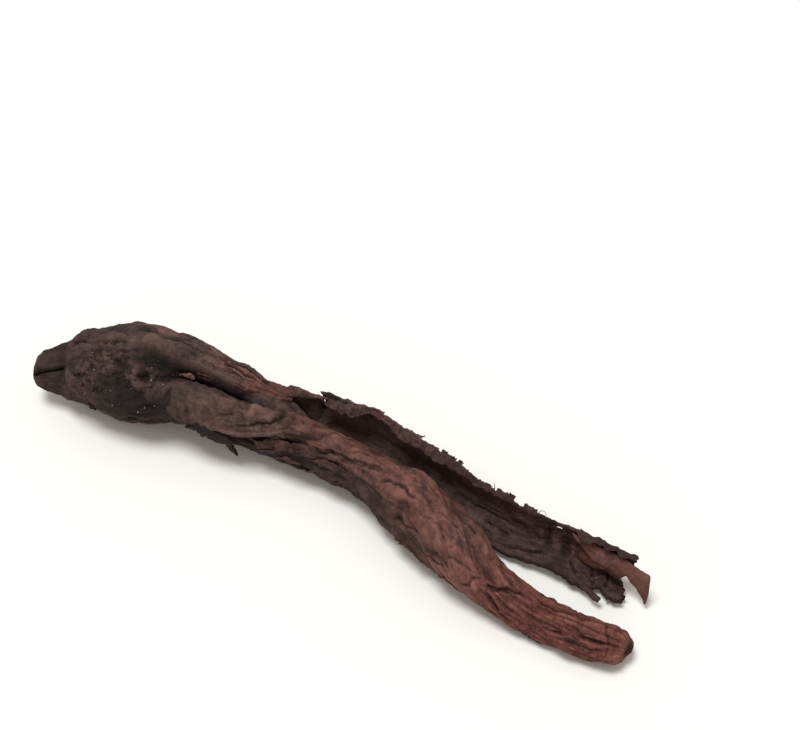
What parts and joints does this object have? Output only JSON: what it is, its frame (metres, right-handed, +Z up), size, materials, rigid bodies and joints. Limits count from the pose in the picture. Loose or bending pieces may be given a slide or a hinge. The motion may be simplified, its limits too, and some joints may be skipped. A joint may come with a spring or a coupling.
{
  "type": "dried gromwell root",
  "caption": "Dark dried root with a lumpy cleft crown, a thick twisted cord and a thin torn trough of bark, lying on a surface.",
  "frame": {"origin": "middle of the root's bounding box, on the surface that it lies on", "axes": "+X along the root from the crown to the tips, +Y to the side of the bark trough, +Z up"},
  "size_m": [0.1424, 0.0316, 0.0225],
  "materials": {
    "root": "matt flaking bark, grey brown to reddish brown"
  },
  "bodies": {
    "root": {"root": "root"}
  },
  "joints": []
}
